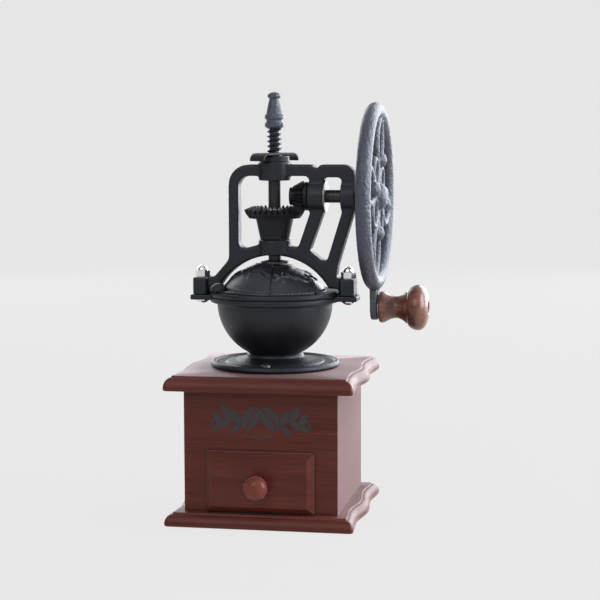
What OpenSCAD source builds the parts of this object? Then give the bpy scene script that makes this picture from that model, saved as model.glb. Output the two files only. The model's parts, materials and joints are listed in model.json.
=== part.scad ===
// Hand coffee mill: wooden drawer box, cast-iron hopper and bridge, bevel gears and a hand wheel.
// Origin: centre of the base plate's underside. +Z up, front towards -Y, hand wheel at +X.

/* [Wooden box] */
// Side of the square base and top plates
plate_w = 140; // [136:1:144]
// Outside width and depth of the box body
box_w = 114; // [112:1:116]
// Thickness of the base plate
base_t = 10; // [9:0.5:10]
// Height of the four boards
board_h = 90; // [86:1:90]
// Thickness of the boards
board_t = 10; // [8:1:10]
// Thickness of the top plate
top_t = 11; // [10:0.5:11]
// Inset of the flat top of each moulded plate
moulding_in = 6.1; // [5:0.1:6.5]

/* [Drawer] */
// Half width of the drawer's opening
bay_half = 37; // [35:1:37]
// Height of the drawer's opening above the base plate
bay_h = 43; // [41:1:43]
// Half width of the drawer's raised front panel
panel_half = 40; // [40:1:42]
// Height of the raised panel
panel_h = 44.5; // [44:0.5:46]
// How far the raised panel stands out
panel_t = 6.7; // [6:0.1:7.5]
// Width of the panel's bevel
bevel_w = 4.6; // [3:0.1:5]
// Thickness of the drawer's sides
tray_t = 5; // [4:0.5:6]
// Diameter of the turned drawer knob
knob_d = 17; // [15:0.5:18]

/* [Hopper] */
// Radius of the foot's disc
foot_r = 48.5; // [47:0.5:50]
// Radius of the bowl's outside
bowl_r = 43.5; // [43:0.5:43.5]
// Thickness of the bowl's wall
bowl_wall = 4; // [3.5:0.5:4]
// Radius of the bowl's rim flange
rim_r = 48.5; // [48:0.5:49]
// Distance of the ear bolts from the axis
ear_x = 56; // [56:0.5:56.5]
// Radius of the lid door's outer face
door_r = 50.3; // [50:0.1:50.4]

/* [Bridge] */
// Depth of the bridge casting, front to back
bridge_t = 13; // [12:0.5:14]
// Height of the wheel's axis
wheel_z = 239; // [239:0.1:239.4]
// Radius of both shafts
shaft_r = 4.8; // [4.6:0.1:4.9]

/* [Gears] */
// Length of the shaft gear's teeth
gear_tooth = 7; // [6.5:0.5:8]
// Length of the pinion's teeth
pinion_tooth = 9; // [8:0.5:9]

/* [Hand wheel] */
// Outer radius of the wheel's rim
wheel_r = 69.4; // [68:0.2:70]
// Radius of the rim's round section
rim_round = 5.6; // [5.2:0.1:5.8]
// Crank radius, from the wheel's axis to the handle's axis
crank_r = 82.2; // [81.5:0.1:83]

/* [Adjuster] */
// Crest radius of the adjusting thread
thread_r = 5.9; // [5.6:0.1:6]
// Pitch of the adjusting thread
thread_pitch = 3.6; // [3.4:0.1:3.8]

/* [Hidden] */
$fn = 72;

// Colours of the materials
wood = "#6b2a1c";
pale_wood = "#b98a5e";
cast = "#2b2d33";
wheel_cast = "#50545e";
steel = "#9a9ca0";
bronze = "#a07a45";
handle_wood = "#8a5238";

// Clearances: a running fit, a fit between fixed pieces, and the air between moving pieces
run_fit = 0.05;
seat_fit = 0.03;
air = 0.4;
// Overshoot of a cutting shape past the face that it cuts
cut = 1;

// Levels of the box
board_z = base_t;
top_z = base_t + board_h;
foot_z = top_z + top_t;
board_out = box_w / 2;
board_in = board_out - board_t;
bay_top = board_z + bay_h;
panel_z = base_t + 1;
panel_y = -board_out - 0.3;
tray_half = bay_half - 0.6;
tray_front = panel_y;
tray_back = board_in - 3;
tray_z = base_t + air;
tray_h = 38;
tray_floor = 4;
knob_z = panel_z + panel_h / 2 - 1;
knob_len = 18;

// Screws: shank radii, head radii and places
wood_screw_r = 2;
base_screw_x = 51;
base_screw_y = 38;
base_screw_head = 4;
base_screw_in = 2.5;
knob_screw_r = 1.8;
foot_screw_head = 3.5;

// Levels of the hopper
neck_z = foot_z + 11;
bowl_z = foot_z + 49;
rim_z = bowl_z + 4.3;
ring_top = rim_z + 3.7;
dome_z = foot_z + 29.8;
cavity_z = foot_z + 25;
burr_z = foot_z + 17;
burr_h = 13;
burr_seat_r = 22;
spigot_r = 18;
spigot_in = 14.5;
spigot_z = foot_z + 3;
spider_z = foot_z;
spider_h = 4.5;
spider_rim_in = 12.9;
ear_w = 20;
ear_out = 63.5;
ear_block = 10.6;
ear_bolt_r = 2.4;
foot_screw_r = 35;
foot_screw_az = [-90, 90];
foot_screw_z = 3.6;
grounds_r = 16;

// Lid: the fixed shell lies just under the door
door_t = 1.3;
shell_r = door_r - door_t - 0.3;
shell_t = 2.7;
door_from = 184;
door_to = 275;
door_lap = 5;
shaft_hole_r = 6;
lip_in = 40.6;
lip_out = 44.5;
lip_z = ring_top + 0.3;
lip_t = 1.3;
lid_knob_r = 6.4;
lid_knob_ring = 44.3;
lid_knob_az = 210;
rivet_az = 322;

// Bridge: heights of the casting, its two upright hubs and its two cross hubs
arch_r = 48;
arch_z = rim_z - 17.5;
bar_out = -34.2;
bar_in = -26.6;
bar_top = wheel_z + 23.7;
bar_low = wheel_z + 15.1;
ear_top = rim_z + 13.7;
leg_low = ring_top + 2.3;
top_hub_r = 12;
top_hub_z = wheel_z + 11.7;
top_hub_h = 14.3;
low_hub_r = 12.3;
low_hub_z = wheel_z - 44;
low_hub_h = 11.5;
bush_r = 7;
inner_hub = [26, 38.4];
outer_hub = [51, 62];
inner_hub_r = 11.6;
outer_hub_r = 11;

// Gears: both cones meet on the two axes; the upright shaft rests at its lowest setting
gear_module = 1.5;
gear_teeth = 30;
pinion_teeth = 14;
gear_r = gear_module * gear_teeth / 2;
pinion_r = gear_module * pinion_teeth / 2;
cone_len = sqrt(gear_r * gear_r + pinion_r * pinion_r);
gear_cone = atan2(gear_r, pinion_r);
pinion_cone = 90 - gear_cone;
lift = 0.8;
gear_apex = wheel_z - lift;
addendum = 1.25;
dedendum = 1.9;
pressure = 20;
tooth_half = PI * gear_module / 4 - 0.22;
gear_low = low_hub_z + low_hub_h + 0.5;
pin_r = 1.5;
gear_pin_z = gear_low + 6;
pinion_back = [23.4, 25.5];
pinion_back_r = 10.6;

// Adjuster, from the shaft's end up
ball_r = 2.2;
shaft_top = top_hub_z + 3;
ball_z = shaft_top + 0.1 + ball_r;
screw_low = ball_z + ball_r + 0.1;
thread_core_r = 3.85;
finial_z = wheel_z + 51.5;
washer_z = top_hub_z + top_hub_h;
washer_h = 3.9;
wing_top = washer_z + 6.3;
wing_half = 21;
wing_w = 13.5;
wing_t = 2;
wing_bend = 6;
wing_turn = 62;

// Wheel
wheel_x = 76.2;
rim_mid = wheel_r - rim_round;
spoke_w = 4.8;
spoke_t = 6.6;
petal_in = 8;
petal_out = 61.5;
petal_half = 11.5;
ball_ring = 27.5;
spoke_ball_r = 5.6;
loop_ring = 21;
loop_r = 12;
wheel_turn = -13;
crank_z = wheel_z - crank_r;
lug_x = 73.2;
lug_t = 5.2;
lug_r = 9.8;
spindle_r = 3;
grip_x = lug_x + lug_t + 0.9;
grip_end = 116.2;
spindle_end = 110;
cap_x = 111.2;
cap_r = 3.9;
wheel_pin_x = 67;
pinion_pin_x = 24.4;
pinion_pin_r = 1;

// ---- Helpers ----

function unit(v) = v / norm(v);

// Arc that rounds the corner b between its neighbours a and c
function corner_arc(a, b, c, r, steps = 5) =
    let (
        u = unit(a - b),
        v = unit(c - b),
        half = acos(u * v) / 2,
        centre = b + unit(u + v) * r / sin(half),
        p = b + u * r / tan(half) - centre,
        q = b + v * r / tan(half) - centre,
        from = atan2(p.y, p.x),
        sweep = (atan2(q.y, q.x) - from + 540) % 360 - 180
    )
    [for (i = [0:steps]) centre + r * [cos(from + sweep * i / steps), sin(from + sweep * i / steps)]];

// Outline through corners [x, y, radius]; a radius of 0 keeps the corner sharp
function rounded(corners) =
    let (n = len(corners))
    [for (i = [0:n - 1])
        let (
            a = corners[(i + n - 1) % n],
            b = corners[i],
            c = corners[(i + 1) % n]
        )
        each b.z == 0 ? [[b.x, b.y]] : corner_arc([a.x, a.y], [b.x, b.y], [c.x, c.y], b.z)];

module ring(r_out, r_in, z, h) {
    translate([0, 0, z]) difference() {
        cylinder(r = r_out, h = h);
        translate([0, 0, -cut]) cylinder(r = r_in, h = h + 2 * cut);
    }
}

// Turns a piece made along +Z so that it lies along +X at the height given
module along_x(z = wheel_z) {
    translate([0, 0, z]) rotate([0, 90, 0]) children();
}

// Solid of revolution with its axis along +X, from points [radius, x]
module turned_x(points, z = wheel_z) {
    along_x(z) rotate_extrude() polygon(points);
}

// Screw with a domed slotted head above z = 0 and a shank below it
module screw(head_r, head_h, shank_r, shank_len) {
    difference() {
        union() {
            intersection() {
                translate([0, 0, head_h - head_r * 1.4]) sphere(r = head_r * 1.4);
                cylinder(r = head_r, h = head_h);
            }
            translate([0, 0, -shank_len]) cylinder(r = shank_r, h = shank_len + head_h / 2);
        }
        translate([-head_r, -0.5, head_h * 0.55]) cube([2 * head_r, 1, head_h]);
    }
}

// ---- Wooden box ----

// Half width of a plate's wavy side edge at the depth y
function wavy_half(y) =
    plate_w / 2 - 2 + (abs(y) < plate_w / 4 ? 1.65 : 1) * (1 + cos(360 * y / (plate_w / 2)));

// Points around a plate's edge, moved inwards by d
function plate_ring(d, z, steps = 20) =
    let (half = plate_w / 2 - d)
    [for (side = [1, -1])
        for (i = [0:steps])
            let (y = half * (2 * i / steps - 1) * side)
            [side * (wavy_half(y * plate_w / 2 / half) - d), y, z]];

// Moulded edge as [inset, height]: small foot round, quarter round, then a low step
function moulding(t) = concat(
    [[1.5, 0], [0.45, 0.45]],
    [for (a = [0:15:90]) [(moulding_in - 0.5) * (1 - cos(a)), 1.5 + (t - 2.5) * sin(a)]],
    [[moulding_in, t]]);

module moulded_plate(t) {
    rows = [for (p = moulding(t)) plate_ring(p.x, p.y)];
    n = len(rows[0]);
    m = len(rows);
    sides = [for (j = [0:m - 2]) for (i = [0:n - 1])
        [j * n + i, (j + 1) * n + i, (j + 1) * n + (i + 1) % n, j * n + (i + 1) % n]];
    bottom = [for (i = [0:n - 1]) i];
    top = [for (i = [n - 1:-1:0]) (m - 1) * n + i];
    polyhedron([for (row = rows) each row], concat(sides, [bottom, top]));
}

module base_plate() {
    color(wood) difference() {
        moulded_plate(base_t);
        for (sx = [-1, 1], sy = [-1, 1]) translate([sx * base_screw_x, sy * base_screw_y, -cut]) {
            cylinder(r = wood_screw_r + seat_fit, h = base_t + 2 * cut);
            cylinder(r = base_screw_head + seat_fit, h = base_screw_in + cut);
        }
    }
}

module top_plate() {
    color(wood) translate([0, 0, top_z]) difference() {
        moulded_plate(top_t);
        translate([0, 0, -cut]) cylinder(r = grounds_r, h = top_t + 2 * cut);
        for (az = foot_screw_az) rotate([0, 0, az]) translate([foot_screw_r, 0, 2])
            cylinder(r = wood_screw_r + seat_fit, h = top_t);
    }
}

module board(w, t, h) {
    translate([-w / 2, -t / 2, 0]) cube([w, t, h]);
}

module box_front() {
    color(wood) difference() {
        translate([0, -board_out + board_t / 2, board_z]) board(box_w, board_t, board_h);
        translate([-bay_half, -board_out - cut, board_z - cut])
            cube([2 * bay_half, board_t + 2 * cut, bay_h + cut]);
    }
}

module box_rear() {
    color(wood) translate([0, board_out - board_t / 2, board_z]) board(box_w, board_t, board_h);
}

module side_board(side) {
    color(wood) difference() {
        translate([side * (board_out - board_t / 2), 0, board_z])
            rotate([0, 0, 90]) board(2 * board_in, board_t, board_h);
        for (sy = [-1, 1]) translate([side * base_screw_x, sy * base_screw_y, board_z - cut])
            cylinder(r = wood_screw_r + seat_fit, h = 20 + cut);
    }
}

module box_left() side_board(-1);

module box_right() side_board(1);

module base_screws() {
    color(steel) for (sx = [-1, 1], sy = [-1, 1])
        translate([sx * base_screw_x, sy * base_screw_y, base_screw_in])
            mirror([0, 0, 1]) screw(base_screw_head, 2, wood_screw_r, 26);
}

// ---- Drawer ----

module drawer_front() {
    inner_w = 2 * (panel_half - bevel_w);
    color(wood) difference() {
        union() {
            translate([-panel_half, panel_y - 2.2, panel_z]) cube([2 * panel_half, 2.2, panel_h]);
            hull() {
                translate([-panel_half, panel_y - 2.4, panel_z]) cube([2 * panel_half, 0.2, panel_h]);
                translate([-inner_w / 2, panel_y - panel_t, panel_z + bevel_w])
                    cube([inner_w, 0.2, panel_h - 2 * bevel_w]);
            }
        }
        translate([0, panel_y + cut, knob_z]) rotate([90, 0, 0])
            cylinder(r = knob_screw_r + seat_fit, h = panel_t + 2 * cut);
    }
}

module drawer_side(side) {
    color(pale_wood) translate([side > 0 ? tray_half - tray_t : -tray_half, tray_front, tray_z])
        cube([tray_t, tray_back - tray_front, tray_h]);
}

module drawer_left() drawer_side(-1);

module drawer_right() drawer_side(1);

module drawer_back() {
    color(pale_wood) translate([-tray_half + tray_t, tray_back - tray_t, tray_z])
        cube([2 * (tray_half - tray_t), tray_t, tray_h]);
}

module drawer_bottom() {
    color(pale_wood) translate([-tray_half + tray_t, tray_front, tray_z])
        cube([2 * (tray_half - tray_t), tray_back - tray_t - tray_front, tray_floor]);
}

// Turned knob: a narrow neck on the panel and a domed head, drilled for its screw
module drawer_knob() {
    head = knob_d / 2;
    neck = 4.8;
    widest = knob_len - 7;
    color(wood) translate([0, panel_y - panel_t, knob_z]) rotate([90, 0, 0]) difference() {
        rotate_extrude() polygon(concat(
            [[0, 0], [neck + 1, 0], [neck, 1.5], [neck, 4]],
            [for (a = [-50:10:80]) [1 + (head - 1) * cos(a), widest + 7 * sin(a)]],
            [[0, knob_len]]));
        translate([0, 0, -cut]) cylinder(r = knob_screw_r + seat_fit, h = 9 + cut);
    }
}

module knob_screw() {
    color(steel) translate([0, panel_y, knob_z]) rotate([-90, 0, 0])
        screw(3.6, 2, knob_screw_r, panel_t + 8.5);
}

// ---- Hopper ----

// Foot: beaded disc, cone and neck collar, bored for the bowl's spigot
module foot_flange() {
    color(cast) translate([0, 0, foot_z]) difference() {
        union() {
            rotate_extrude() polygon([[0, 0], [foot_r - 1, 0], [foot_r, 1.2], [foot_r, 2.8],
                [foot_r - 1, 4], [foot_r - 3, 4], [foot_r - 4.5, 3.2], [37, 3.2], [36.4, 4.3],
                [30, 5], [23.5, 6.8],
                [21, 7.6], [20.6, 9], [20.1, 11], [0, 11]]);
            rotate_extrude() translate([foot_r - 2.2, 2.9]) circle(r = 1.8);
            rotate_extrude() translate([20.2, 8.6]) circle(r = 1.3);
        }
        translate([0, 0, -cut]) cylinder(r = spigot_r + seat_fit, h = 11 + 2 * cut);
        for (az = foot_screw_az) rotate([0, 0, az]) translate([foot_screw_r, 0, -cut]) {
            cylinder(r = wood_screw_r + seat_fit, h = 8);
            translate([0, 0, foot_screw_z + cut]) cylinder(r = foot_screw_head + seat_fit, h = 6);
        }
    }
}

module foot_screws() {
    color(steel) for (az = foot_screw_az) rotate([0, 0, az])
        translate([foot_screw_r, 0, foot_z + foot_screw_z])
            screw(foot_screw_head, 2.6, wood_screw_r, 12);
}

module ear(side) {
    x0 = side > 0 ? rim_r - 4 : -ear_out;
    translate([x0, -ear_w / 2, bowl_z + 1]) cube([ear_out - rim_r + 4, ear_w, rim_z - bowl_z - 0.3]);
}

// Half section of the bowl: wall, rim flange, burr seat, throat and spigot
module bowl_section() {
    difference() {
        union() {
            intersection() {
                translate([0, bowl_z]) circle(r = bowl_r, $fn = 96);
                translate([0, neck_z]) square([bowl_r + cut, bowl_z - neck_z]);
            }
            translate([0, bowl_z]) square([rim_r, rim_z - bowl_z]);
            translate([0, spigot_z]) square([spigot_r, neck_z - spigot_z]);
        }
        intersection() {
            translate([0, bowl_z]) circle(r = bowl_r - bowl_wall, $fn = 96);
            translate([0, cavity_z]) square([bowl_r, bowl_z - cavity_z]);
        }
        translate([0, bowl_z]) square([bowl_r - bowl_wall, rim_z - bowl_z + cut]);
        translate([0, burr_z]) square([burr_seat_r + seat_fit, cavity_z - burr_z]);
        polygon([[0, neck_z], [spigot_in, neck_z], [spigot_in + 3, burr_z], [0, burr_z]]);
        translate([0, spigot_z - cut]) square([spigot_in, neck_z - spigot_z + cut]);
    }
}

module bowl() {
    color(cast) difference() {
        union() {
            rotate_extrude() bowl_section();
            for (side = [-1, 1]) ear(side);
        }
        for (side = [-1, 1]) translate([side * ear_x, 0, bowl_z])
            cylinder(r = ear_bolt_r + seat_fit, h = 8);
        translate([0, 0, rim_z]) cylinder(r = rim_r + 0.3, h = 3);
    }
}

// Fixed outer burr: a funnel with raked grooves
module burr_ring() {
    color(steel) translate([0, 0, burr_z]) difference() {
        cylinder(r = burr_seat_r, h = burr_h);
        translate([0, 0, -0.01]) cylinder(r1 = 14.5, r2 = 19.5, h = burr_h + 0.02);
        for (a = [0:30:330]) rotate([0, 0, a]) translate([17, 0, 4]) rotate([22, 0, 0])
            cube([5, 2, 22], center = true);
    }
}

// Three-armed bearing for the shaft's foot, clamped between the top plate and the bowl's spigot
module bearing_spider() {
    color(cast) translate([0, 0, spider_z]) difference() {
        union() {
            ring(spigot_r, spider_rim_in, 0, spigot_z - spider_z - run_fit);
            cylinder(r = 7.5, h = spider_h);
            for (a = [90, 210, 330]) rotate([0, 0, a]) translate([5, -1.5, 0])
                cube([spider_rim_in - 4, 3, 2.5]);
        }
        translate([0, 0, -cut]) cylinder(r = shaft_r + run_fit, h = spider_h + 2 * cut);
    }
}

// ---- Lid ----

// Wedge that holds the directions between two azimuths
module wedge(from, to, r, z, h) {
    steps = ceil((to - from) / 30);
    translate([0, 0, z]) linear_extrude(h)
        polygon(concat([[0, 0]], [for (i = [0:steps])
            let (a = from + (to - from) * i / steps) 2 * r * [cos(a), sin(a)]]));
}

module dome_shell(r, t, z) {
    intersection() {
        difference() {
            translate([0, 0, dome_z]) sphere(r = r, $fn = 96);
            translate([0, 0, dome_z]) sphere(r = r - t, $fn = 96);
            translate([0, 0, z]) cylinder(r = shaft_hole_r, h = 2 * r);
        }
        translate([0, 0, z]) cylinder(r = r + cut, h = r);
    }
}

module lid_ring() {
    color(cast) difference() {
        union() {
            translate([0, 0, rim_z]) cylinder(r = rim_r - 0.5, h = ring_top - rim_z);
            translate([0, 0, rim_z + 1.7]) rotate_extrude() translate([rim_r - 1.5, 0]) circle(r = 1.6);
        }
        translate([0, 0, rim_z - 3]) cylinder(r = 37, h = 10);
        translate([0, 0, rim_z - 3]) ring(rim_r + 5, 30, 0, 3);
    }
}

module lid_dome() {
    color(cast) difference() {
        dome_shell(shell_r, shell_t, ring_top);
        difference() {
            wedge(door_from + door_lap, door_to - door_lap, door_r, ring_top - cut, door_r);
            cylinder(r = 14, h = 2 * dome_z);
        }
    }
}

module lid_door() {
    color(cast) union() {
        intersection() {
            dome_shell(door_r, door_t, lip_z);
            union() {
                wedge(door_from, door_to, door_r, lip_z - cut, door_r);
                cylinder(r = 11, h = 2 * dome_z);
            }
        }
        intersection() {
            ring(lip_out, lip_in, lip_z, lip_t);
            wedge(door_from, door_to, door_r, lip_z - cut, door_r);
        }
    }
}

module lid_knob() {
    dome_r = 7.2;
    color(cast) difference() {
        rotate([0, 0, lid_knob_az]) translate([lid_knob_ring, 0, lip_z + lip_t]) intersection() {
            cylinder(r = lid_knob_r, h = 6);
            translate([0, 0, 5.6 - dome_r]) sphere(r = dome_r);
        }
        translate([0, 0, dome_z]) sphere(r = door_r + seat_fit);
    }
}

module lid_rivet() {
    color(cast) rotate([0, 0, rivet_az]) translate([rim_r - 2, 0, ring_top])
        cylinder(r = 1.3, h = 2.4);
}

// ---- Bridge ----

module bridge_outline() {
    ear_end = ear_x + ear_block / 2;
    difference() {
        polygon(rounded([
            [-ear_end, rim_z + 0.7, 1], [-49, rim_z + 0.7, 0], [-49, leg_low, 0], [49, leg_low, 0],
            [49, rim_z + 0.7, 0], [ear_end, rim_z + 0.7, 1], [ear_end, ear_top, 1],
            [47.5, ear_top, 2], [49, wheel_z - 50.5, 12], [61.8, wheel_z - 8, 6],
            [61.8, bar_top, 9], [36, bar_top, 1.5], [32.5, bar_top - 3.1, 1], [29, bar_top, 1.5],
            [bar_out, bar_top, 15], [bar_out, wheel_z - 47.3, 8], [-46, ear_top, 5],
            [-ear_end, ear_top, 1]]));
        translate([0, arch_z]) circle(r = arch_r);
        polygon(rounded([
            [bar_in, bar_low, 7.5], [25.8, bar_low, 3], [27.6, bar_low - 4, 3], [27.6, wheel_z - 12.5, 3],
            [18.6, wheel_z - 38.5, 3.5], [8, wheel_z - 36.5, 0], [-11.3, wheel_z - 36.1, 0],
            [bar_in, wheel_z - 40.4, 4.5]]));
        polygon(rounded([
            [37.4, bar_low - 0.9, 3], [51.6, bar_low - 0.9, 3], [51.6, wheel_z - 12, 3],
            [40.4, wheel_z - 48.4, 3], [36.6, wheel_z - 47.3, 2], [27.6, wheel_z - 40.2, 2.5],
            [37.7, wheel_z - 12.5, 3]]));
    }
}

// Flat open casting with two upright hubs, two cross hubs and a bolted block at each ear
module bridge_frame() {
    color(cast) difference() {
        union() {
            translate([0, bridge_t / 2, 0]) rotate([90, 0, 0]) linear_extrude(bridge_t)
                bridge_outline();
            for (side = [-1, 1])
                translate([side * ear_x - ear_block / 2, -ear_w / 2, rim_z + 0.7])
                    cube([ear_block, ear_w, ear_top - rim_z - 0.7]);
            translate([0, 0, top_hub_z]) cylinder(r = top_hub_r, h = top_hub_h);
            translate([0, 0, low_hub_z]) cylinder(r = low_hub_r, h = low_hub_h);
            along_x() translate([0, 0, inner_hub[0]])
                cylinder(r = inner_hub_r, h = inner_hub[1] - inner_hub[0]);
            along_x() translate([0, 0, outer_hub[0]])
                cylinder(r = outer_hub_r, h = outer_hub[1] - outer_hub[0]);
        }
        translate([0, 0, top_hub_z - cut]) cylinder(r = bush_r + seat_fit, h = 6.5 + cut);
        translate([0, 0, top_hub_z]) cylinder(r = thread_r + run_fit, h = top_hub_h + cut);
        translate([0, 0, low_hub_z - cut]) cylinder(r = bush_r + seat_fit, h = low_hub_h + 2 * cut);
        along_x() translate([0, 0, inner_hub[0] - cut])
            cylinder(r = bush_r + seat_fit, h = inner_hub[1] - inner_hub[0] + 2 * cut);
        along_x() translate([0, 0, outer_hub[0] - cut])
            cylinder(r = bush_r + seat_fit, h = outer_hub[1] - outer_hub[0] + 2 * cut);
        for (side = [-1, 1]) translate([side * ear_x, 0, rim_z])
            cylinder(r = ear_bolt_r + seat_fit, h = 20);
    }
}

module ear_screws() {
    color(steel) for (side = [-1, 1]) translate([side * ear_x, 0, bowl_z + 1])
        mirror([0, 0, 1]) screw(5, 3.4, ear_bolt_r, 20.5);
}

// Acorn nuts
module ear_nuts() {
    flats = 10;
    color(steel) for (side = [-1, 1]) translate([side * ear_x, 0, ear_top]) difference() {
        union() {
            cylinder(d = flats / cos(30), h = 4.5, $fn = 6);
            translate([0, 0, 4.5]) cylinder(r = 4, h = 0.8);
            intersection() {
                translate([0, 0, 4.8]) sphere(r = 4);
                translate([0, 0, 4.5]) cylinder(r = 5, h = 6);
            }
        }
        translate([0, 0, -cut]) cylinder(r = ear_bolt_r + seat_fit, h = 5.5 + cut);
    }
}

module top_bush() {
    color(bronze) ring(bush_r, shaft_r + run_fit, top_hub_z, 6.4);
}

module lower_bush() {
    color(bronze) ring(bush_r, shaft_r + run_fit, low_hub_z, low_hub_h);
}

module inner_bush() {
    color(bronze) along_x() {
        ring(bush_r, shaft_r + run_fit, inner_hub[0], inner_hub[1] - inner_hub[0]);
        ring(12.3, shaft_r + run_fit, inner_hub[1], 1);
    }
}

module outer_bush() {
    color(bronze) along_x() ring(bush_r, shaft_r + run_fit, outer_hub[0], outer_hub[1] - outer_hub[0]);
}

module lock_washer() {
    color(cast) difference() {
        translate([0, 0, washer_z]) rotate_extrude()
            polygon([[0, 0], [11.2, 0], [11.2, washer_h - 0.6], [10.6, washer_h], [0, washer_h]]);
        translate([0, 0, washer_z - cut]) cylinder(r = thread_r + run_fit, h = 10);
    }
}

// ---- Grinding shaft ----

module main_shaft() {
    low = spider_z - 0.5;
    color(steel) difference() {
        translate([0, 0, low]) cylinder(r = shaft_r, h = shaft_top - low);
        translate([0, 12, gear_pin_z]) rotate([90, 0, 0]) cylinder(r = pin_r + seat_fit, h = 11);
    }
}

// Point of a bevel tooth as [radius, distance from the apex along the axis]
function cone_point(cone, dist, height) =
    [dist * sin(cone) + height * cos(cone), dist * cos(cone) - height * sin(cone)];

// One straight bevel tooth at azimuth 0, opening along +Z from the apex at the origin
module bevel_tooth(cone, tooth_len) {
    far = [for (h = [-dedendum - 0.4, addendum]) cone_point(cone, cone_len, h)];
    half = [for (h = [-dedendum - 0.4, addendum]) tooth_half - h * tan(pressure)];
    near = (cone_len - tooth_len) / cone_len;
    points = [for (s = [1, near]) for (i = [0, 1]) for (side = [-1, 1])
        let (a = side * half[i] / far[i].x * 180 / PI)
        s * [far[i].x * cos(a), far[i].x * sin(a), far[i].y]];
    polyhedron(points, [[1, 3, 2, 0], [6, 7, 5, 4], [4, 5, 1, 0], [5, 7, 3, 1], [7, 6, 2, 3],
        [6, 4, 0, 2]]);
}

// Bevel gear over a long tapered hub
module bevel_gear() {
    root_far = cone_point(gear_cone, cone_len, -dedendum);
    root_near = root_far * (cone_len - gear_tooth) / cone_len;
    color(cast) difference() {
        union() {
            rotate_extrude() polygon([[0, gear_low], [11, gear_low], [14.2, gear_apex - 15.6],
                [19.3, gear_apex - 15.6], [root_far.x, gear_apex - root_far.y],
                [root_near.x, gear_apex - root_near.y], [0, gear_apex - root_near.y]]);
            for (k = [0:gear_teeth - 1]) translate([0, 0, gear_apex]) mirror([0, 0, 1])
                rotate([0, 0, (k + 0.5) * 360 / gear_teeth]) bevel_tooth(gear_cone, gear_tooth);
        }
        translate([0, 0, gear_low - cut]) cylinder(r = shaft_r + seat_fit, h = 40);
        translate([0, 20, gear_pin_z]) rotate([90, 0, 0]) cylinder(r = pin_r + seat_fit, h = 20);
    }
}

// Set pin from the rear, into a hole in the shaft
module gear_pin() {
    color(steel) translate([0, 11.5, gear_pin_z]) rotate([90, 0, 0]) cylinder(r = pin_r, h = 10.3);
}

// Inner burr with raked flutes
module burr_cone() {
    low = burr_z - 0.5;
    color(steel) difference() {
        translate([0, 0, low]) rotate_extrude()
            polygon([[0, 0], [13.6, 0], [14, 1.5], [9.5, 14.5], [0, 14.5]]);
        translate([0, 0, low - cut]) cylinder(r = shaft_r + seat_fit, h = 20);
        for (a = [0:36:324]) rotate([0, 0, a]) translate([14.6, 0, burr_z + 8]) rotate([24, -18, 0])
            cube([5, 2.4, 22], center = true);
    }
}

module burr_nut() {
    color(steel) translate([0, 0, burr_z - 5]) difference() {
        cylinder(d = 15, h = 4.5, $fn = 6);
        translate([0, 0, -cut]) cylinder(r = shaft_r + seat_fit, h = 8);
    }
}

// Coil spring that lifts the shaft: a round wire swept along a helix
module lift_spring() {
    wire = 0.6;
    coil_r = 6;
    turns = 3;
    low = spider_z + spider_h + wire + 0.05;
    high = burr_z - 5 - wire - 0.05;
    steps = 16 * turns;
    sides = 8;
    points = [for (i = [0:steps]) for (j = [0:sides - 1])
        let (a = 360 * turns * i / steps, b = 360 * j / sides)
        [(coil_r + wire * cos(b)) * cos(a), (coil_r + wire * cos(b)) * sin(a),
            low + (high - low) * i / steps + wire * sin(b)]];
    walls = [for (i = [0:steps - 1]) for (j = [0:sides - 1])
        [i * sides + j, i * sides + (j + 1) % sides, (i + 1) * sides + (j + 1) % sides,
            (i + 1) * sides + j]];
    start = [for (j = [sides - 1:-1:0]) j];
    end = [for (j = [0:sides - 1]) steps * sides + j];
    color(steel) polyhedron(points, concat(walls, [start, end]));
}

module thrust_ball() {
    color(steel) translate([0, 0, ball_z]) sphere(r = ball_r);
}

// ---- Adjuster ----

// Threaded rod: one ridge for each pitch
module adjust_screw() {
    count = floor((finial_z - screw_low - 1) / thread_pitch);
    color(cast) union() {
        translate([0, 0, screw_low]) cylinder(r = thread_core_r, h = finial_z + 5 - screw_low);
        for (i = [0:count - 1]) translate([0, 0, screw_low + 0.6 + i * thread_pitch]) rotate_extrude()
            polygon([[thread_core_r - 0.5, 0], [thread_core_r, 0], [thread_r, thread_pitch * 0.36],
                [thread_r, thread_pitch * 0.5], [thread_core_r, thread_pitch * 0.86],
                [thread_core_r - 0.5, thread_pitch * 0.86]]);
    }
}

// Turned knob: waisted collar, tapered stem and ball
module finial() {
    color(wheel_cast) translate([0, 0, finial_z]) difference() {
        union() {
            rotate_extrude() polygon(concat(
                [[0, -1.4], [thread_core_r + 1, -1.4], [5.6, -0.6], [7.2, 0.6], [7.2, 3.2], [6.8, 4],
                    [6.8, 5.4], [7.2, 6.2], [7.2, 8.8], [6.9, 9.4], [6.3, 9.6], [5.3, 14], [3.8, 20]],
                [for (a = [-50:14:90]) [5 * cos(a), 23 + 2.9 * sin(a)]],
                [[0, 25.9]]));
        }
        translate([0, 0, -5]) cylinder(r = thread_core_r + seat_fit, h = 10.1);
    }
}

// Lock strip: flat in the middle, with both ends bent down
module lock_plate() {
    flat = wing_half - wing_bend;
    color(cast) rotate([0, 0, wing_turn]) difference() {
        translate([0, wing_w / 2, wing_top]) rotate([90, 0, 0]) linear_extrude(wing_w) {
            translate([-flat, -wing_t]) square([2 * flat, wing_t]);
            for (side = [0, 1]) mirror([side, 0]) translate([flat - 0.01, -wing_bend])
                intersection() {
                    difference() {
                        circle(r = wing_bend);
                        circle(r = wing_bend - wing_t);
                    }
                    square(wing_bend + cut);
                }
        }
        translate([0, 0, wing_top - 5]) cylinder(r = thread_r + run_fit, h = 10);
    }
}

// ---- Hand wheel ----

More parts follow.
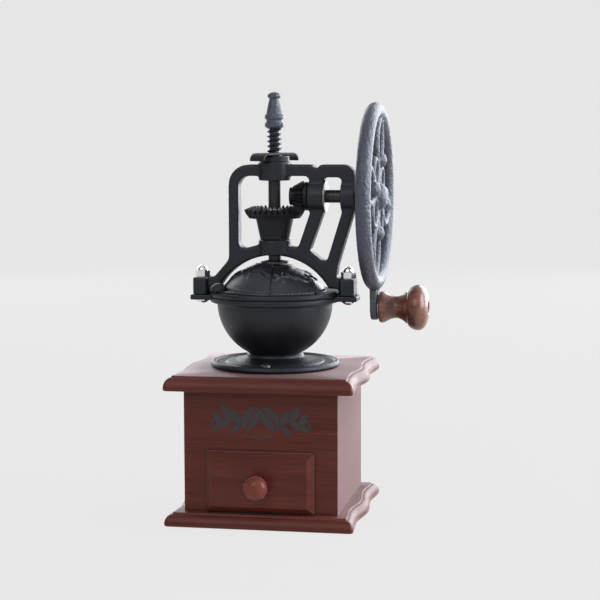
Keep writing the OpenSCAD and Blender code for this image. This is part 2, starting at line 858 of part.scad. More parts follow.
// Half width of a petal's centre line at the share t of its length
function petal_swell(t) = petal_half * pow(max(sin(180 * pow(t, 1.45)), 0), 1.15) + 1;

// Outline of a petal along +Y, moved outwards by d
function petal_outline(d, steps = 24) =
    let (
        edge = [for (i = [0:steps])
            [petal_swell(i / steps) + d, petal_in + (petal_out - petal_in) * i / steps]],
        kept = [for (p = edge) if (p.x > 0) p]
    )
    concat(kept, [for (i = [len(kept) - 1:-1:0]) [-kept[i].x, kept[i].y]]);

// Long teardrop loop from the hub to the rim
module petal() {
    difference() {
        polygon(petal_outline(spoke_w / 2));
        polygon(petal_outline(-spoke_w / 2));
    }
}

module spoke_pattern() {
    for (a = [0:90:270]) rotate(a) {
        petal();
        translate([-spoke_w / 2, petal_in]) square([spoke_w, ball_ring - petal_in]);
        rotate(45) translate([0, loop_ring]) difference() {
            circle(r = loop_r);
            circle(r = loop_r - spoke_w);
        }
    }
}

// Openwork wheel with a boss on the shaft and a lug for the crank handle
module wheel() {
    color(wheel_cast) difference() {
        union() {
            along_x() translate([0, 0, wheel_x]) rotate_extrude($fn = 144)
                translate([rim_mid, 0]) circle(r = rim_round, $fn = 48);
            translate([wheel_x - spoke_t / 2, 0, wheel_z]) rotate([wheel_turn, 0, 0])
                rotate([90, 0, 90]) linear_extrude(spoke_t) spoke_pattern();
            for (a = [0:90:270]) translate([wheel_x + 1.5, 0, wheel_z]) rotate([wheel_turn + a, 0, 0])
                translate([0, 0, ball_ring]) sphere(r = spoke_ball_r);
            turned_x([[shaft_r + seat_fit, 63], [9, 63], [9, 72], [10, 74], [10, 79.5], [9, 82],
                [6.5, 84.2], [3, 85.2], [0, 85.4], [0, 79], [shaft_r + seat_fit, 79]]);
            translate([lug_x, 0, crank_z]) rotate([90, 0, 90]) linear_extrude(lug_t)
                polygon(concat([for (a = [180:15:360]) lug_r * [cos(a), sin(a)]],
                    [[lug_r, crank_r - wheel_r + 6], [-lug_r, crank_r - wheel_r + 6]]));
        }
        along_x(crank_z) translate([0, 0, lug_x - cut]) cylinder(r = spindle_r + seat_fit, h = 10);
        translate([wheel_pin_x, 0, wheel_z - 12]) cylinder(r = pin_r + seat_fit, h = 24);
    }
}

module wheel_shaft() {
    color(steel) difference() {
        along_x() translate([0, 0, 12.2]) cylinder(r = shaft_r, h = 66.5);
        translate([wheel_pin_x, 0, wheel_z - 12]) cylinder(r = pin_r + seat_fit, h = 24);
        translate([pinion_pin_x, 0, wheel_z - 12]) cylinder(r = pinion_pin_r + seat_fit, h = 24);
    }
}

module wheel_pin() {
    color(steel) translate([wheel_pin_x, 0, wheel_z - 8.8]) cylinder(r = pin_r, h = 17.6);
}

// Bevel pinion: a tooth points straight down, into the gear's gap
module bevel_pinion() {
    root_far = cone_point(pinion_cone, cone_len, -dedendum);
    root_near = root_far * (cone_len - pinion_tooth) / cone_len;
    color(cast) difference() {
        union() {
            turned_x([[0, 12], [6.6, 12], [6.6, root_near.y + 1], [root_far.x, root_far.y],
                [pinion_back_r, pinion_back[0]], [pinion_back_r, pinion_back[1]],
                [0, pinion_back[1]]]);
            for (k = [0:pinion_teeth - 1]) along_x() rotate([0, 0, k * 360 / pinion_teeth])
                bevel_tooth(pinion_cone, pinion_tooth);
        }
        along_x() translate([0, 0, 10]) cylinder(r = shaft_r + seat_fit, h = 18);
        translate([pinion_pin_x, 0, wheel_z - 12]) cylinder(r = pinion_pin_r + seat_fit, h = 24);
    }
}

module pinion_pin() {
    color(steel) translate([pinion_pin_x, 0, wheel_z - 10.4]) cylinder(r = pinion_pin_r, h = 20.8);
}

// ---- Crank handle ----

// Fixed spindle, riveted flush with the lug's back
module crank_spindle() {
    color(steel) along_x(crank_z) translate([0, 0, lug_x])
        cylinder(r = spindle_r, h = spindle_end - lug_x);
}

module crank_washer() {
    color(steel) along_x(crank_z) ring(7, spindle_r + seat_fit, lug_x + lug_t, 0.5);
}

// Turned grip: flange, waist, groove and ball, with a recess for the end screw
module crank_handle() {
    color(handle_wood) difference() {
        turned_x(concat(
            [[0, grip_x], [10, grip_x], [11.5, grip_x + 0.8], [11.8, grip_x + 2.4], [11.3, grip_x + 4.2],
                [9.6, grip_x + 7], [8.4, grip_x + 10], [8.1, grip_x + 13], [8.9, grip_x + 16],
                [10.5, grip_x + 18.8], [12.1, grip_x + 20.8], [12, grip_x + 21.4],
                [12.8, grip_x + 21.8]],
            [for (a = [-45:15:60]) [6.6 + 10.4 * cos(a), 108.3 + (a < 0 ? 8.6 : 8.2) * sin(a)]],
            [[9, grip_end - 0.4], [7, grip_end], [0, grip_end]]), crank_z);
        along_x(crank_z) translate([0, 0, 70]) cylinder(r = spindle_r + run_fit, h = 50);
        along_x(crank_z) translate([0, 0, cap_x - 0.3]) cylinder(r = cap_r + 0.4, h = 10);
    }
}

// Slotted end screw that holds the grip on its spindle
module crank_cap() {
    color(cast) along_x(crank_z) difference() {
        union() {
            translate([0, 0, spindle_end]) cylinder(r = 2.2, h = cap_x - spindle_end + 1);
            translate([0, 0, cap_x]) cylinder(r = cap_r, h = 2.4);
        }
        translate([-5, -0.6, cap_x + 1.6]) cube([10, 1.2, 2]);
    }
}

base_plate();
top_plate();
box_front();
box_rear();
box_left();
box_right();
base_screws();
drawer_front();
drawer_left();
drawer_right();
drawer_back();
drawer_bottom();
drawer_knob();
knob_screw();
foot_flange();
foot_screws();
bowl();
burr_ring();
bearing_spider();
lid_ring();
lid_dome();
lid_door();
lid_knob();
lid_rivet();
bridge_frame();
ear_screws();
ear_nuts();
top_bush();
lower_bush();
inner_bush();
outer_bush();
lock_washer();
main_shaft();
bevel_gear();
gear_pin();
burr_cone();
burr_nut();
lift_spring();
thrust_ball();
adjust_screw();
finial();
lock_plate();
wheel();
wheel_shaft();
wheel_pin();
bevel_pinion();
pinion_pin();
crank_spindle();
crank_washer();
crank_handle();
crank_cap();
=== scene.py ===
import json
import math

import bpy
import bmesh
from mathutils import Matrix, Vector, noise


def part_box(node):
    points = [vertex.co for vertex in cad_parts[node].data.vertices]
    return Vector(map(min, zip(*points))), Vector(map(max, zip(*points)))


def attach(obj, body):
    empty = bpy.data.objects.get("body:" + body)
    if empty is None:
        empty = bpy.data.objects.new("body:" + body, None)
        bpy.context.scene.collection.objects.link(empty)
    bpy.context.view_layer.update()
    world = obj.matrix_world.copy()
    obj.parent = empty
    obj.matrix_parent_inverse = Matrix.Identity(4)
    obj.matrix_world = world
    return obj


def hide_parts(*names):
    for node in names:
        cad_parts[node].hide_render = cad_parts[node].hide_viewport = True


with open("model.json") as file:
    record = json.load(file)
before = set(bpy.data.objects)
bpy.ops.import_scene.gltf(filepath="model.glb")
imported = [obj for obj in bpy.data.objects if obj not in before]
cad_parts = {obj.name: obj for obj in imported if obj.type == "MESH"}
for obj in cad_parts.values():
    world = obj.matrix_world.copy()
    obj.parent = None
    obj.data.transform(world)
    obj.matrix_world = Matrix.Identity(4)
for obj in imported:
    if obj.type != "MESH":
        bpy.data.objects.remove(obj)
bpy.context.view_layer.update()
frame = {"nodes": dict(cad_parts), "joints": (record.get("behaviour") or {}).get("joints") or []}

MM = 0.001
TAU = 2 * math.pi
# Points closer than this many metres are one point
MERGE = 1e-6
# A lathe's profile stays this many millimetres off its axis
AXIS_GAP = 1e-4
scene = bpy.context.scene
nodes = frame["nodes"]


def box_mm(node):
    """Lowest and highest corner of a CAD node, in millimetres."""
    low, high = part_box(node)
    return low / MM, high / MM


def joint_point(name):
    """A joint's point in millimetres."""
    joint = next(j for j in frame["joints"] if j["name"] == name)
    return Vector(joint["pos_m"]) / MM


WHEEL_Z = joint_point("wheel_spin").z
CRANK_Z = joint_point("grip_spin").z


# ---------------------------------------------------------------- mesh helpers

def link(name, mesh):
    obj = bpy.data.objects.new(name, mesh)
    scene.collection.objects.link(obj)
    return obj


def mesh_object(name, verts, faces, sharp=35):
    """A mesh object from points in millimetres, with outward normals and smooth shading."""
    mesh = bpy.data.meshes.new(name)
    mesh.from_pydata([Vector(v) * MM for v in verts], [], faces)
    work = bmesh.new()
    work.from_mesh(mesh)
    bmesh.ops.remove_doubles(work, verts=work.verts, dist=MERGE)
    bmesh.ops.recalc_face_normals(work, faces=work.faces)
    work.to_mesh(mesh)
    work.free()
    mesh.shade_smooth()
    mesh.set_sharp_from_angle(angle=math.radians(sharp))
    return link(name, mesh)


def bake(obj, smooth=True):
    """Applies the object's modifiers to its own mesh."""
    bpy.context.view_layer.update()
    graph = bpy.context.evaluated_depsgraph_get()
    mesh = bpy.data.meshes.new_from_object(obj.evaluated_get(graph))
    obj.modifiers.clear()
    obj.data = mesh
    if smooth:
        mesh.shade_smooth()
    return obj


def place(obj, body, slot, *replaced):
    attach(obj, body)
    if replaced:
        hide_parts(*replaced)
    return obj


def loft(rows, closed_rows=True, cap_start=True, cap_end=True):
    """Vertices and faces of a skin over rows of equally many points."""
    n = len(rows[0])
    verts = [p for row in rows for p in row]
    span = n if closed_rows else n - 1
    faces = [(j * n + i, j * n + (i + 1) % n, (j + 1) * n + (i + 1) % n, (j + 1) * n + i)
             for j in range(len(rows) - 1) for i in range(span)]
    if cap_start:
        faces.append(tuple(range(n)))
    if cap_end:
        faces.append(tuple(range((len(rows) - 1) * n, len(rows) * n)))
    return verts, faces


def along(axis, origin, r, t, a):
    """Point at radius r, distance t along the axis and angle a about it."""
    c, s = r * math.cos(a), r * math.sin(a)
    offset = {"z": (c, s, t), "x": (t, c, s), "-y": (c, -t, s)}[axis]
    return Vector(origin) + Vector(offset)


def lathe(name, profile, axis="z", origin=(0, 0, 0), segments=128, sharp=35):
    """Turned solid from a profile of (radius, distance along the axis) points."""
    rows = [[along(axis, origin, max(r, AXIS_GAP), t, TAU * i / segments) for i in range(segments)]
            for r, t in profile]
    return mesh_object(name, *loft(rows), sharp=sharp)


def join(name, parts):
    """Joins objects into one that keeps all their faces."""
    work = bmesh.new()
    for part in parts:
        work.from_mesh(part.data)
        bpy.data.objects.remove(part)
    mesh = bpy.data.meshes.new(name)
    work.to_mesh(mesh)
    work.free()
    return link(name, mesh)


def remesh(obj, voxel, passes):
    """Melts a shape into one skin with softened edges, as sand casting leaves them."""
    skin = obj.modifiers.new("skin", "REMESH")
    skin.mode = "VOXEL"
    skin.voxel_size = voxel * MM
    soften = obj.modifiers.new("soften", "SMOOTH")
    soften.factor = 0.5
    soften.iterations = passes
    return bake(obj)


def roughen(obj, height, size, seed=0.0):
    """Moves each vertex along its normal by noise of the given height and grain, in millimetres."""
    mesh = obj.data
    normals = [v.normal.copy() for v in mesh.vertices]
    for v, n in zip(mesh.vertices, normals):
        at = v.co / (size * MM) + Vector((seed, seed, seed))
        v.co += n * (height * MM * (noise.noise(at) - 0.4 * abs(noise.noise(at * 2.3))))
    mesh.update()
    return obj


def tube(path, normal, half_w, half_t, closed=False, segments=14):
    """Vertices and faces of a bar swept along a planar path; normal is the plane's normal."""
    rows = []
    count = len(path)
    for i, p in enumerate(path):
        before = path[(i - 1) % count] if closed or i > 0 else p
        after = path[(i + 1) % count] if closed or i < count - 1 else p
        side = normal.cross(after - before).normalized()
        w = half_w(i / (count - 1)) if callable(half_w) else half_w
        rows.append([p + side * (w * math.cos(TAU * k / segments))
                     + normal * (half_t * math.sin(TAU * k / segments)) for k in range(segments)])
    if closed:
        rows.append(rows[0])
    return loft(rows, cap_start=not closed, cap_end=not closed)


def ball(centre, r, squash=1.0, rings=16, segments=24):
    """Vertices and faces of a ball, flattened along X by squash."""
    rows = [[centre + Vector((r * squash * math.cos(math.pi * j / rings),
                              r * math.sin(math.pi * j / rings) * math.cos(TAU * i / segments),
                              r * math.sin(math.pi * j / rings) * math.sin(TAU * i / segments)))
             for i in range(segments)] for j in range(1, rings)]
    return loft(rows)


def cut_holes(obj, holes):
    """Bores round holes (centre, radius, depth along +Z) into a solid."""
    cutters = []
    for centre, r, depth in holes:
        cutter = lathe("cutter", [(r, 0), (r, depth)], "z", centre, segments=48)
        cutters.append(cutter)
        step = obj.modifiers.new("hole", "BOOLEAN")
        step.operation = "DIFFERENCE"
        step.solver = "EXACT"
        step.object = cutter
    bake(obj, smooth=False)
    for cutter in cutters:
        bpy.data.objects.remove(cutter)
    return obj


# ---------------------------------------------------------------- shader helpers

class Shader:
    """A material under construction: short calls for the nodes that these materials use."""

    def __init__(self, name):
        self.material = bpy.data.materials.new(name)
        self.material.use_nodes = True
        self.tree = self.material.node_tree
        self.tree.nodes.clear()
        self.surface = self.add("ShaderNodeBsdfPrincipled")
        self.output = self.add("ShaderNodeOutputMaterial")
        self.join(self.surface.outputs[0], self.output.inputs["Surface"])
        self.coords = self.add("ShaderNodeTexCoord").outputs["Object"]

    def add(self, kind):
        return self.tree.nodes.new(kind)

    def join(self, a, b):
        self.tree.links.new(a, b)

    def stretched(self, scale, turn=(0, 0, 0)):
        step = self.add("ShaderNodeMapping")
        step.inputs["Scale"].default_value = scale
        step.inputs["Rotation"].default_value = turn
        self.join(self.coords, step.inputs["Vector"])
        return step.outputs[0]

    def noise(self, vector, scale, detail=4.0, rough=0.55, distort=0.0):
        step = self.add("ShaderNodeTexNoise")
        step.inputs["Scale"].default_value = scale
        step.inputs["Detail"].default_value = detail
        step.inputs["Roughness"].default_value = rough
        step.inputs["Distortion"].default_value = distort
        self.join(vector, step.inputs["Vector"])
        return step.outputs["Fac"]

    def cells(self, vector, scale):
        step = self.add("ShaderNodeTexVoronoi")
        step.feature = "SMOOTH_F1"
        step.inputs["Scale"].default_value = scale
        step.inputs["Smoothness"].default_value = 0.6
        self.join(vector, step.inputs["Vector"])
        return step.outputs["Distance"]

    def ramp(self, value, stops):
        step = self.add("ShaderNodeValToRGB")
        while len(step.color_ramp.elements) < len(stops):
            step.color_ramp.elements.new(0.5)
        for element, (at, colour) in zip(step.color_ramp.elements, stops):
            element.position = at
            element.color = (*colour, 1) if len(colour) == 3 else colour
        self.join(value, step.inputs["Fac"])
        return step.outputs["Color"]

    def spread(self, value, low, high, start=0.0, end=1.0):
        step = self.add("ShaderNodeMapRange")
        step.inputs["From Min"].default_value = start
        step.inputs["From Max"].default_value = end
        step.inputs["To Min"].default_value = low
        step.inputs["To Max"].default_value = high
        self.join(value, step.inputs["Value"])
        return step.outputs["Result"]

    def mix(self, how, factor, a, b):
        step = self.add("ShaderNodeMix")
        step.data_type = "RGBA"
        step.blend_type = how
        if isinstance(factor, float):
            step.inputs["Factor"].default_value = factor
        else:
            self.join(factor, step.inputs["Factor"])
        for value, socket in ((a, step.inputs["A"]), (b, step.inputs["B"])):
            if isinstance(value, tuple):
                socket.default_value = (*value, 1)
            else:
                self.join(value, socket)
        return step.outputs["Result"]

    def sum(self, a, b, share):
        step = self.add("ShaderNodeMath")
        step.operation = "MULTIPLY_ADD"
        step.inputs[1].default_value = share
        self.join(b, step.inputs[0])
        self.join(a, step.inputs[2])
        return step.outputs[0]

    def bump(self, height, strength, distance):
        step = self.add("ShaderNodeBump")
        step.inputs["Strength"].default_value = strength
        step.inputs["Distance"].default_value = distance
        self.join(height, step.inputs["Height"])
        self.join(step.outputs[0], self.surface.inputs["Normal"])
        return step.outputs[0]

    def set(self, **values):
        for name, value in values.items():
            label = name.replace("_", " ").title().replace("Ior", "IOR")
            socket = self.surface.inputs[label]
            if isinstance(value, bpy.types.NodeSocket):
                self.join(value, socket)
            elif isinstance(value, tuple):
                socket.default_value = (*value, 1)
            else:
                socket.default_value = value


# ---------------------------------------------------------------- materials

def stained_wood(name, along_axis, dark, mid, light, gloss=0.3, pores=0.5):
    """Stained, varnished wood with its grain along one axis."""
    s = Shader(name)
    fine, broad = [340.0] * 3, [60.0] * 3
    fine[along_axis], broad[along_axis] = 12.0, 5.0
    streaks = s.noise(s.stretched(fine), 1.0, 6.0, 0.65, 0.4)
    bands = s.noise(s.stretched(broad), 1.0, 3.0, 0.5, 1.2)
    tone = s.sum(s.spread(bands, 0.12, 0.5), streaks, 0.42)
    colour = s.ramp(tone, [(0.3, dark), (0.52, mid), (0.78, light)])
    blotch = s.noise(s.coords, 22.0, 2.0)
    colour = s.mix("MULTIPLY", 0.5, colour,
                   s.ramp(blotch, [(0.3, (0.72, 0.7, 0.72)), (0.7, (1.0, 1.0, 1.0))]))
    pore = s.noise(s.stretched(tuple(v * 2.2 for v in fine)), 1.0, 2.0, 0.5)
    colour = s.mix("MULTIPLY", pores, colour,
                   s.ramp(pore, [(0.32, (0.5, 0.45, 0.45)), (0.44, (1.0, 1.0, 1.0))]))
    s.set(base_color=colour, roughness=s.spread(streaks, 0.42, 0.56), coat_weight=0.24,
          coat_roughness=gloss, specular_ior_level=0.12, sheen_weight=0.8, sheen_roughness=0.22,
          sheen_tint=(1.0, 0.86, 0.9))
    s.bump(s.sum(streaks, pore, 0.5), 0.16, 0.0004)
    return s.material


def pale_wood():
    """Plain sanded board, as inside the drawer."""
    s = Shader("pale_wood")
    grain = s.noise(s.stretched((300.0, 9.0, 300.0)), 1.0, 5.0, 0.6, 0.3)
    colour = s.ramp(grain, [(0.3, (0.36, 0.2, 0.1)), (0.55, (0.5, 0.31, 0.17)),
                            (0.8, (0.6, 0.41, 0.25))])
    s.set(base_color=colour, roughness=s.spread(grain, 0.55, 0.75))
    s.bump(grain, 0.25, 0.0003)
    return s.material


def turned_handle():
    """Mid-brown turned wood with dark mineral patches under a glossy varnish."""
    s = Shader("handle_wood")
    grain = s.noise(s.stretched((16.0, 300.0, 300.0)), 1.0, 5.0, 0.6, 0.6)
    colour = s.ramp(grain, [(0.28, (0.085, 0.024, 0.015)), (0.52, (0.165, 0.056, 0.034)),
                            (0.8, (0.25, 0.1, 0.062))])
    patch = s.noise(s.stretched((70.0, 38.0, 38.0)), 1.0, 3.0, 0.6, 1.0)
    colour = s.mix("MULTIPLY", 0.8, colour,
                   s.ramp(patch, [(0.36, (0.32, 0.24, 0.24)), (0.56, (1.0, 1.0, 1.0))]))
    s.set(base_color=colour, roughness=s.spread(grain, 0.34, 0.48), coat_weight=0.6,
          coat_roughness=0.2, specular_ior_level=0.3)
    s.bump(grain, 0.14, 0.0003)
    return s.material


def cast_enamel(name, dark, light, rough, grain, height, cell=0.0, shine=0.42):
    """Satin enamel over sand-cast iron: fine pits, uneven gloss and a little wear."""
    s = Shader(name)
    pits = s.noise(s.coords, grain, 5.0, 0.62)
    patches = s.noise(s.coords, 55.0, 3.0, 0.6)
    colour = s.ramp(s.sum(s.spread(patches, 0.0, 0.6), pits, 0.4), [(0.32, dark), (0.75, light)])
    relief = pits
    if cell:
        relief = s.sum(pits, s.cells(s.coords, cell), 1.1)
    s.set(base_color=colour, roughness=s.spread(patches, rough - 0.07, rough + 0.09),
          specular_ior_level=shine, specular_tint=(0.84, 0.88, 1.0), coat_weight=0.06,
          coat_roughness=0.3)
    s.bump(relief, 0.5, height)
    return s.material


def metal(name, colour, rough, grain_axis=None, tint=0.2):
    """Machined or plated metal, with turning marks across grain_axis where it is given."""
    s = Shader(name)
    scale = [900.0] * 3
    if grain_axis is not None:
        scale = [60.0] * 3
        scale[grain_axis] = 2600.0
    marks = s.noise(s.stretched(tuple(scale)), 1.0, 3.0, 0.6)
    smear = s.noise(s.coords, 90.0, 3.0, 0.6)
    stain = s.ramp(smear, [(0.3, (0.6, 0.58, 0.56)), (0.7, (1.0, 1.0, 1.0))])
    shade = s.mix("MULTIPLY", tint, colour, stain)
    s.set(base_color=shade, metallic=1.0, roughness=s.spread(smear, rough * 0.75, rough * 1.35))
    s.bump(marks, 0.2, 0.0001)
    return s.material


def ink():
    """Dark transfer print, slightly worn."""
    s = Shader("print_ink")
    worn = s.noise(s.coords, 700.0, 4.0, 0.7)
    s.set(base_color=s.ramp(worn, [(0.35, (0.028, 0.02, 0.022)), (0.8, (0.012, 0.012, 0.016))]),
          roughness=s.spread(worn, 0.4, 0.6))
    s.bump(worn, 0.1, 0.0001)
    return s.material


MAHOGANY = dict(dark=(0.05, 0.0085, 0.0055), mid=(0.09, 0.0165, 0.0105),
                light=(0.135, 0.029, 0.0165))
materials = {
    "wood_x": stained_wood("mahogany_x", 0, **MAHOGANY),
    "wood_y": stained_wood("mahogany_y", 1, **MAHOGANY),
    "knob_wood": stained_wood("knob_wood", 1, dark=(0.08, 0.016, 0.0105), mid=(0.16, 0.036, 0.023),
                              light=(0.23, 0.058, 0.036), gloss=0.16, pores=0.3),
    "pale_wood": pale_wood(),
    "handle_wood": turned_handle(),
    "cast_iron": cast_enamel("cast_iron", dark=(0.004, 0.0043, 0.0062), light=(0.0095, 0.01, 0.0135),
                             rough=0.45, grain=900.0, height=0.0003),
    # The lid's iron is the same cast iron as the bowl, painted in a lighter colour: painted light on the
    # dome and the adjusting rod. Its higher gloss is a shader setting.
    "lid_iron_painted_light": cast_enamel("lid_iron_painted_light", dark=(0.009, 0.0095, 0.0125), light=(0.02, 0.021, 0.026),
                            rough=0.3, grain=900.0, height=0.0004, shine=0.6),
    "wheel_iron": cast_enamel("wheel_iron", dark=(0.016, 0.0175, 0.024), light=(0.046, 0.05, 0.068),
                              rough=0.48, grain=520.0, height=0.001, cell=420.0, shine=1.0),
    "gear_iron": cast_enamel("gear_iron", dark=(0.003, 0.003, 0.004), light=(0.007, 0.007, 0.009),
                             rough=0.5, grain=1100.0, height=0.0003, shine=0.3),
    "bright_steel": metal("bright_steel", (0.82, 0.82, 0.8), 0.16),
    "steel": metal("steel", (0.5, 0.5, 0.52), 0.32),
    "dark_steel": metal("dark_steel", (0.22, 0.22, 0.23), 0.42),
    "bronze": metal("bronze", (0.36, 0.22, 0.1), 0.4, tint=0.4),
    "ink": ink(),
}


def shaft_black(name, axis):
    """Blackened steel with turning marks round the shaft's axis."""
    s = Shader(name)
    scale = [40.0] * 3
    scale[axis] = 1500.0
    marks = s.noise(s.stretched(tuple(scale)), 1.0, 3.0, 0.6)
    s.set(base_color=s.ramp(marks, [(0.3, (0.005, 0.005, 0.0065)), (0.7, (0.012, 0.012, 0.015))]),
          roughness=s.spread(marks, 0.3, 0.46), specular_ior_level=0.45)
    s.bump(marks, 0.12, 0.0002)
    return s.material


materials["shaft_z"] = shaft_black("shaft_upright", 2)
materials["shaft_x"] = shaft_black("shaft_cross", 0)


def paint(obj, key):
    obj.data.materials.clear()
    obj.data.materials.append(materials[key])
    for polygon in obj.data.polygons:
        polygon.material_index = 0
    return obj


# ---------------------------------------------------------------- carried-over CAD nodes

NODE_MATERIALS = {
    "box_front": "wood_x", "box_rear": "wood_x", "box_left": "wood_y", "box_right": "wood_y",
    "drawer_front": "wood_x", "drawer_left": "pale_wood", "drawer_right": "pale_wood",
    "drawer_back": "pale_wood", "drawer_bottom": "pale_wood",
    "base_screws": "steel", "knob_screw": "steel", "foot_screws": "dark_steel", "burr_ring": "steel",
    "burr_cone": "steel", "burr_nut": "steel", "lift_spring": "steel", "thrust_ball": "steel",
    "gear_pin": "steel", "pinion_pin": "steel", "wheel_pin": "steel", "crank_spindle": "steel",
    "crank_washer": "steel", "ear_screws": "bright_steel", "ear_nuts": "bright_steel",
    "main_shaft": "shaft_z", "wheel_shaft": "shaft_x", "top_bush": "bronze", "lower_bush": "bronze",
    "inner_bush": "dark_steel", "outer_bush": "bronze", "bevel_gear": "gear_iron",
    "bevel_pinion": "gear_iron", "lid_knob": "cast_iron", "lid_rivet": "cast_iron",
    "bearing_spider": "cast_iron", "lock_washer": "cast_iron", "crank_cap": "gear_iron",
}
# Width of the rounded edge on each carried-over node, in millimetres
NODE_EDGES = {
    "box_front": 1.2, "box_rear": 1.2, "box_left": 0.4, "box_right": 0.4, "drawer_front": 0.7,
    "drawer_left": 0.5, "drawer_right": 0.5, "drawer_back": 0.4, "drawer_bottom": 0.3,
    "ear_screws": 0.25, "ear_nuts": 0.35, "bevel_gear": 0.14, "bevel_pinion": 0.12,
    "lid_knob": 0.7, "lid_rivet": 0.4, "lock_washer": 0.3, "inner_bush": 0.2, "foot_screws": 0.25,
    "base_screws": 0.2, "burr_cone": 0.15, "burr_ring": 0.15, "main_shaft": 0.3, "wheel_shaft": 0.3,
    "crank_spindle": 0.4, "bearing_spider": 0.4,
}


def finish_nodes():
    """Gives each CAD node that stays its material and softly rounded edges."""
    for name, key in NODE_MATERIALS.items():
        node = nodes[name]
        paint(node, key)
        if name in NODE_EDGES:
            edge = node.modifiers.new("edge", "BEVEL")
            edge.width = NODE_EDGES[name] * MM
            edge.segments = 3
            edge.limit_method = "ANGLE"
            edge.angle_limit = math.radians(32)
            edge.harden_normals = True


# ---------------------------------------------------------------- wooden plates

def plate_half(y, half):
    """Half width of a plate's wavy side at the depth y: the middle wave is the deepest."""
    middle_swing, end_swing, wave_depth = 1.65, 1.0, 2
    swing = middle_swing if abs(y) < half / 2 else end_swing
    return half - wave_depth + swing * (1 + math.cos(TAU * y / half))


def plate_outline(half, inset, z, corner=2.4):
    """Points round a plate's edge, moved inwards by inset, with small rounded corners."""
    least_corner, steps, corner_steps = 0.8, 40, 6
    turn = 90 / corner_steps
    points = []
    h = half - inset
    c = max(corner - 0.2 * inset, least_corner)
    for side in (1, -1):
        run = [-(h - c) + 2 * (h - c) * i / steps for i in range(steps + 1)]
        for y in run:
            points.append((side * (plate_half(y * half / h, half) - inset), side * y, z))
        x = plate_half((h - c) * half / h, half) - inset
        for k in range(1, corner_steps + 1):
            a = math.radians(turn * k)
            points.append((side * (x - c + c * math.cos(a)), side * (h - c + c * math.sin(a)), z))
        points.append((0, side * h, z))
        for k in range(corner_steps):
            a = math.radians(90 + turn * k)
            points.append((-side * (x - c - c * math.cos(a)), side * (h - c + c * math.sin(a)), z))
    return points


def moulded_plate(name, node, holes):
    """Board with a quarter-round edge and a low step round its flat top."""
    low, high = box_mm(node)
    half, t = high.y, high.z - low.z
    foot_h, round_w, step_h, edge_sharp = 1.7, 5.4, 1.2, 38
    round_h = t - foot_h - step_h
    profile = [(2.2, 0), (1.1, 0.1), (0.45, 0.42), (0.1, 1.0), (0, foot_h)]
    profile += [(round_w * (1 - math.cos(math.radians(a))), foot_h + round_h * math.sin(math.radians(a)))
                for a in range(6, 91, 6)]
    profile += [(5.5, t - 1.1), (5.6, t - 0.45), (5.85, t - 0.12), (6.4, t)]
    rows = [plate_outline(half, inset, low.z + z) for inset, z in profile]
    obj = mesh_object(name, *loft(rows), sharp=edge_sharp)
    cut_holes(obj, holes)
    obj.data.set_sharp_from_angle(angle=math.radians(edge_sharp))
    paint(obj, "wood_x")
    return place(obj, "root", "mahogany", node)


def screw_holes():
    """Counterbores in the base plate for its four screws."""
    low, high = box_mm("base_screws")
    head_r, bore_r, head_depth, below = 4, 4.05, 2.5, 2
    x, y = high.x - head_r, high.y - head_r
    return [((sx * x, sy * y, low.z - below), bore_r, below + head_depth)
            for sx in (-1, 1) for sy in (-1, 1)]


def grounds_hole():
    """Hole in the middle of the top plate, where the grounds fall through."""
    low, high = box_mm("top_plate")
    bore_r, past = 16.0, 1
    return [((0, 0, low.z - past), bore_r, high.z - low.z + 2 * past)]


# ---------------------------------------------------------------- drawer knob and crank handle

def drawer_knob():
    """Turned knob: a flared foot, a waist and a round head."""
    low, high = box_mm("drawer_knob")
    head = (high.x - low.x) / 2
    centre = (low.x + high.x) / 2, high.y, (low.z + high.z) / 2
    depth = high.y - low.y
    core, head_drop, bulge, tip_gap = 1.0, 7, 6.9, 0.1
    profile = [(0, 0), (5.9, 0), (6.0, 0.5), (5.4, 1.3), (4.9, 2.2), (4.8, 3.2), (5.1, 4.1)]
    profile += [(core + (head - core) * math.cos(math.radians(a)),
                 depth - head_drop + bulge * math.sin(math.radians(a)))
                for a in range(-52, 86, 4)]
    profile += [(0, depth - tip_gap)]
    obj = lathe("turned_knob", profile, "-y", centre, sharp=50)
    paint(obj, "knob_wood")
    return place(obj, "drawer", "knob_wood", "drawer_knob")


def crank_handle():
    """Turned grip: a foot, a slim waist, a fine groove and a round end with a recess."""
    low, high = box_mm("crank_handle")
    start, end = low.x, high.x
    bore, recess = 3.05, 4.25
    foot_and_neck = [(9.6, 0), (10.9, 0.4), (11.6, 1.3), (11.8, 2.6), (11.5, 4.0), (10.6, 5.6),
                     (9.6, 7.4), (8.8, 9.2), (8.3, 11.2), (8.1, 13.0), (8.3, 14.6), (8.9, 16.2),
                     (9.8, 17.8), (10.9, 19.3), (11.9, 20.5)]
    groove = [(12.1, 20.9), (11.9, 21.15), (12.2, 21.4), (12.9, 21.9)]
    profile = [(bore, start)] + [(r, start + t) for r, t in foot_and_neck + groove]
    middle, core, bulge, shoulder, crown_gap = start + 29.2, 6.6, 10.35, 9.6, 0.5
    profile += [(core + bulge * math.cos(math.radians(a)),
                 middle + (shoulder if a < 0 else end - middle - crown_gap) * math.sin(math.radians(a)))
                for a in range(-46, 77, 4)]
    profile += [(7.4, end - 0.15), (5.4, end), (recess + 0.3, end - 0.1), (recess, end - 0.5),
                (recess, end - 5.0), (bore, end - 5.2)]
    obj = lathe("turned_handle", profile + [profile[0]], "x", (0, 0, CRANK_Z), sharp=50)
    paint(obj, "handle_wood")
    return place(obj, "grip", "handle_wood", "crank_handle")


# ---------------------------------------------------------------- printed ornament

